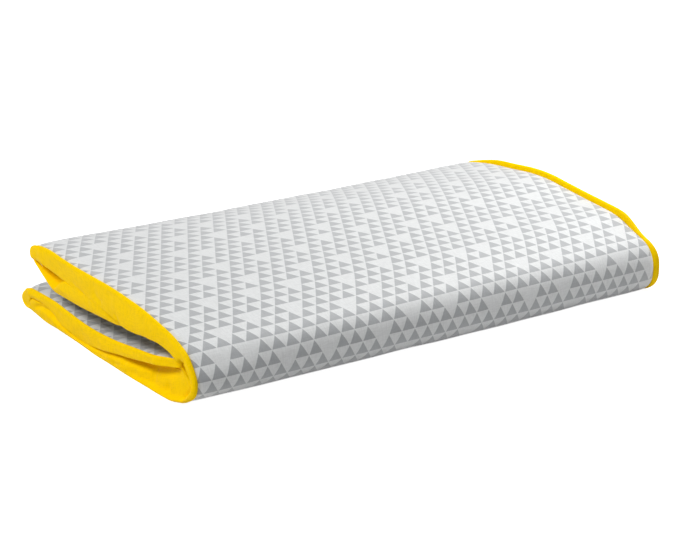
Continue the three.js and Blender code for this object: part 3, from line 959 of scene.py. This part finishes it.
def cell_noise(a, b, seed):
    """Smooth noise from -1 to 1 with cells one unit wide."""
    values = np.random.default_rng(seed).uniform(-1, 1, (WRINKLE_CELLS, WRINKLE_CELLS))
    i, j = np.floor(a).astype(int), np.floor(b).astype(int)
    u, v = smooth(a - i, 0, 1), smooth(b - j, 0, 1)
    c00, c01, c10, c11 = (
        values[(i + di) % WRINKLE_CELLS, (j + dj) % WRINKLE_CELLS] for di in (0, 1) for dj in (0, 1))
    return (c00 * (1 - u) + c10 * u) * (1 - v) + (c01 * (1 - u) + c11 * u) * v


def wrinkles(s, down, side):
    total = 0.0
    for k, (along, across, depth) in enumerate(WRINKLES):
        row = down / across + WRINKLE_RIGHT * (side > 0)
        total = total + depth * cell_noise((s + WRINKLE_START) / along, row, WRINKLE_SEED + k)
    return total


CORNER_RADIUS = 10.0
CORNER_RUN = 9.5  # how far the band runs on round the corners of the turned-in leaves


def corner(s):
    """How far in the band lies where it turns round the ends of the turned-in leaves."""
    past = np.maximum(np.maximum(-s, s - mark["end"]), 0)
    return CORNER_RADIUS - np.sqrt(CORNER_RADIUS**2 - past**2)


def band_sizes(s, side_name):
    """Bulge, ridge, sharpness, flat hem and tilt of the band at each length."""
    distance, height = path_at(s)[0].T
    upper_leaf, lower_leaf = s < mark["upper_loop"], s >= mark["lower_inner"]
    turned_in = upper_leaf | lower_leaf
    top = on(s, "top_back", "nose_upper")
    out = np.where(upper_leaf, smooth(distance, *UPPER_TUCK_FADES),
                   np.where(lower_leaf, smooth(distance, *LOWER_TUCK_FADES), 1.0))
    at_nose = (1 - smooth(distance, *NOSE_BULGE_FADES)) * (1 - smooth(height, *NOSE_BULGE_HEIGHT_FADES))
    above_nose = smooth(height, *THIN_HEIGHT_GROWS) * (1 - smooth(distance, *THIN_FADES))
    bulge = (TUCKED_BULGE + (BULGE[side_name] - TUCKED_BULGE) * out
             + NOSE_BULGE[side_name] * at_nose * ~turned_in - THIN_BULGE[side_name] * above_nose)
    ridge = (NOSE_RIDGE + (RIDGE[side_name] - NOSE_RIDGE) * between(distance, *RIDGE_SPAN) * top
             + (LEAF_RIDGE - NOSE_RIDGE) * between(distance, *LEAF_RIDGE_SPAN) * turned_in)
    low = lower_leaf | on(s, "bottom", "lower_loop")
    sharp = np.where(top | upper_leaf, between(distance, *PRESSED_SPAN),
                     (1 - smooth(distance, *LOW_PRESSED_FADES)) * low)
    return (bulge, ridge * np.minimum(bulge, 1.0), sharp, between(distance, *FLAT_HEM_SPAN) * top,
            LOWER_TILT * lower_leaf)


SINK_FADES = (0.25, 0.9)  # shares of the wall's depth over which it loses the hollows of the face
RECESS_SHARES = (0.45, 1)
PUSHED_DEPTHS = (1, 4)  # depths under the face between which folds and wrinkles come
LEAN_DEPTHS = (0.3, 4)


def placed(s, side_name, line):
    """Rings round the middle line of a piece of the band, in place, with their flat coordinates."""
    side = -1 if side_name == "left" else 1
    point, toward, reach = hem_edge(s)
    out, depth = line[..., 0], line[..., 1]
    share = depth / reach[:, None]
    base = (sunk(s, side * HALF_SEAM) + SEAM_ROLL)[:, None] * (1 - smooth(share, *SINK_FADES))
    place = point[:, None] + toward[:, None] * (depth + base)[..., None]
    pushed = (fold_relief(place, LEFT_FOLDS if side < 0 else RIGHT_FOLDS) + lap_relief(s, place)
              + wrinkles(s[:, None], depth, side))
    pushed = (pushed * smooth(out, 0.0, 0.5 * BULGE[side_name]) * smooth(depth, *PUSHED_DEPTHS)
              + lean(s, place) * smooth(depth, *LEAN_DEPTHS)
              + recess(s, point[:, 0])[:, None] * smooth(share, *RECESS_SHARES))
    out = out - pushed - corner(s)[:, None]
    return settled(place[..., 0], place[..., 1], side * (HALF_SEAM + out)), flat_places(line, s)


BAND_SPACING = 1.6
ELASTIC_SPACING = 4.0


def add_side_bands():
    for length, (start, end, _) in LENGTHS.items():
        if start == 0.0:
            start = -CORNER_RUN
        if end == mark["end"]:
            end += CORNER_RUN
        for side_name in ("left", "right"):
            s = stations(start, end, BAND_SPACING)
            line = b_spline(band_profile(hem_edge(s)[2], *band_sizes(s, side_name)))
            band = make_tube(f"band_{side_name}_{length}", band_cotton,
                             *placed(s, side_name, thicken(line, BAND_CLOTH)))
            settle(band, length, "band_" + side_name)
            s = stations(start, end, ELASTIC_SPACING)
            bulge, _, *hem = band_sizes(s, side_name)
            line = tape_line(hem_edge(s)[2], bulge, *hem)
            tape = make_tube(f"elastic_{side_name}_{length}", elastic_tape,
                             *placed(s, side_name, thicken(line, ELASTIC[1])))
            settle(tape, length, "hem_elastic_" + side_name)


add_side_bands()

END_WALL = 7.0  # how far the end band's wall stands out past the leaf's end
END_RIDGE = 0.2
END_GAP = 3.0  # between the end band and the side seam
END_STATIONS = (180, 90)  # of the band and of the tape
END_TAPE_GAP = TUNNEL_EDGE + 1.0


def along_end(x, s, direction, line):
    """Rings of a piece of the end band, which runs along X, with their flat coordinates."""
    point, inward = path_at(np.full(len(x), s))
    tangent = np.stack([inward[:, 1], -inward[:, 0]], -1) * direction
    place = point[:, None] + tangent[:, None] * line[..., :1] + inward[:, None] * line[..., 1:]
    return settled(place[..., 0], place[..., 1], x[:, None]), flat_places(line, x)


def add_end_band(name, s, direction, body):
    """The band across a turned-in leaf's end, with its elastic."""
    x = np.linspace(END_GAP - HALF_SEAM, HALF_SEAM - END_GAP, END_STATIONS[0])
    one = np.ones(len(x))
    line = b_spline(band_profile(WALL_DEPTH * one, END_WALL * one, END_RIDGE, 0, 0, 0))
    band = make_tube("end_band_" + name, band_cotton, *along_end(x, s, direction, thicken(line, BAND_CLOTH)))
    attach(band, body)
    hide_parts(body + "_end_band")

    x = np.linspace(END_TAPE_GAP - HALF_SEAM, HALF_SEAM - END_TAPE_GAP, END_STATIONS[1])
    one = np.ones(len(x))
    line = tape_line(WALL_DEPTH * one, END_WALL * one, 0, 0, 0)
    tape = make_tube("end_elastic_" + name, elastic_tape,
                     *along_end(x, s, direction, thicken(line, ELASTIC[1])))
    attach(tape, body)
    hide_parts(body + "_end_elastic")


add_end_band("upper", 0.0, -1.0, "top")
add_end_band("lower", mark["end"], 1.0, "lower")


# Blank care label, sewn to the lining of the bottom leaf
LABEL = (28.0, 42.0)
LABEL_CLOTH = 0.25
LABEL_PLACE = (HALF_SEAM - 60.0, 120.0)
LABEL_GRID = (15, 11)
LABEL_GAP = 0.15  # between the lining and the label
LABEL_CURL = (0.5, 6.0)  # how far its long edges curl away from the lining, and over what width


def add_label():
    half_width, half_length = LABEL[0] / 2, LABEL[1] / 2
    grid_u, grid_x = np.meshgrid(np.linspace(-half_length, half_length, LABEL_GRID[0]),
                                 np.linspace(-half_width, half_width, LABEL_GRID[1]), indexing="ij")
    s = mark["bottom"] + LABEL_PLACE[1] - NOSE_RADIUS + grid_u
    curl = LABEL_CURL[0] * smooth(np.abs(grid_x), half_width - LABEL_CURL[1], half_width)
    depth = FELT_DEPTH + FELT + LABEL_GAP + curl
    maps = {"thread": np.stack([grid_x, grid_u], -1) * MM}
    label = slab("care_label", s, LABEL_PLACE[0] + grid_x, depth, LABEL_CLOTH, maps, satin)
    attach(label, "lower")
    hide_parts("care_label_blank")


add_label()


# Floor, background and light
FLOOR_SIZE = 12.0  # metres
FLOOR_SHADE = "E6E6E6"  # what the floor gives back to the object
FLOOR_SEEN = "D2D2D2"  # what the camera sees, with a glow that takes it to white and keeps a faint shadow
FLOOR_GLOW = 0.95
WORLD_LEVEL = 0.08  # of the light on the object. The camera sees white.
LAMPS = [  # name, place and width of the box in metres, power
    ("right_soft_box", (0.47, 0.02, 0.64), 0.45, 5.1),
    ("left_soft_box", (-1.2, 0.1, 1.35), 0.6, 18.0),
    ("front_soft_box", (-0.8, -0.5, 1.25), 0.5, 3.6),
]


def seen_rays(tree):
    """1 for rays that the camera sees, straight, mirrored or through glass, and 0 for light on the object."""
    path = add(tree, "ShaderNodeLightPath").node.outputs
    reflected = add(tree, "ShaderNodeMath", {
        0: path["Is Glossy Ray"], 1: path["Is Transmission Ray"]}, operation="MAXIMUM")
    return add(tree, "ShaderNodeMath", {0: path["Is Camera Ray"], 1: reflected}, operation="MAXIMUM")


def white_paper(tree):
    paper = add(tree, "ShaderNodeBsdfDiffuse", {"Color": linear(FLOOR_SHADE)})
    seen = add(tree, "ShaderNodeBsdfDiffuse", {"Color": linear(FLOOR_SEEN)})
    glow = add(tree, "ShaderNodeEmission", {"Color": linear("FFFFFF"), "Strength": FLOOR_GLOW})
    both = add(tree, "ShaderNodeAddShader", {0: seen, 1: glow})
    return add(tree, "ShaderNodeMixShader", {0: seen_rays(tree), 1: paper, 2: both})


def add_floor():
    bpy.ops.object.select_all(action="DESELECT")
    bpy.ops.mesh.primitive_plane_add(size=FLOOR_SIZE)
    floor = bpy.context.active_object
    floor.name = "floor"
    floor.data.materials.append(make_material("matt_white_paper", white_paper))


def add_world():
    world = bpy.data.worlds.new("studio")
    bpy.context.scene.world = world
    world.use_nodes = True
    tree = world.node_tree
    tree.nodes.clear()
    level = add(tree, "ShaderNodeMath", {
        0: seen_rays(tree), 1: 1.0 - WORLD_LEVEL, 2: WORLD_LEVEL}, operation="MULTIPLY_ADD")
    light = add(tree, "ShaderNodeBackground", {"Color": linear("FFFFFF"), "Strength": level})
    add(tree, "ShaderNodeOutputWorld", {"Surface": light})


def add_lamps():
    """Square soft boxes that face the object."""
    for name, place, size, power in LAMPS:
        data = bpy.data.lights.new(name, "AREA")
        data.size = size
        data.energy = power
        lamp = bpy.data.objects.new(name, data)
        lamp.location = place
        lamp.rotation_euler = (-lamp.location).to_track_quat("-Z", "Y").to_euler()
        bpy.context.scene.collection.objects.link(lamp)


add_floor()
add_world()
add_lamps()

bpy.context.scene.view_settings.view_transform = "Standard"
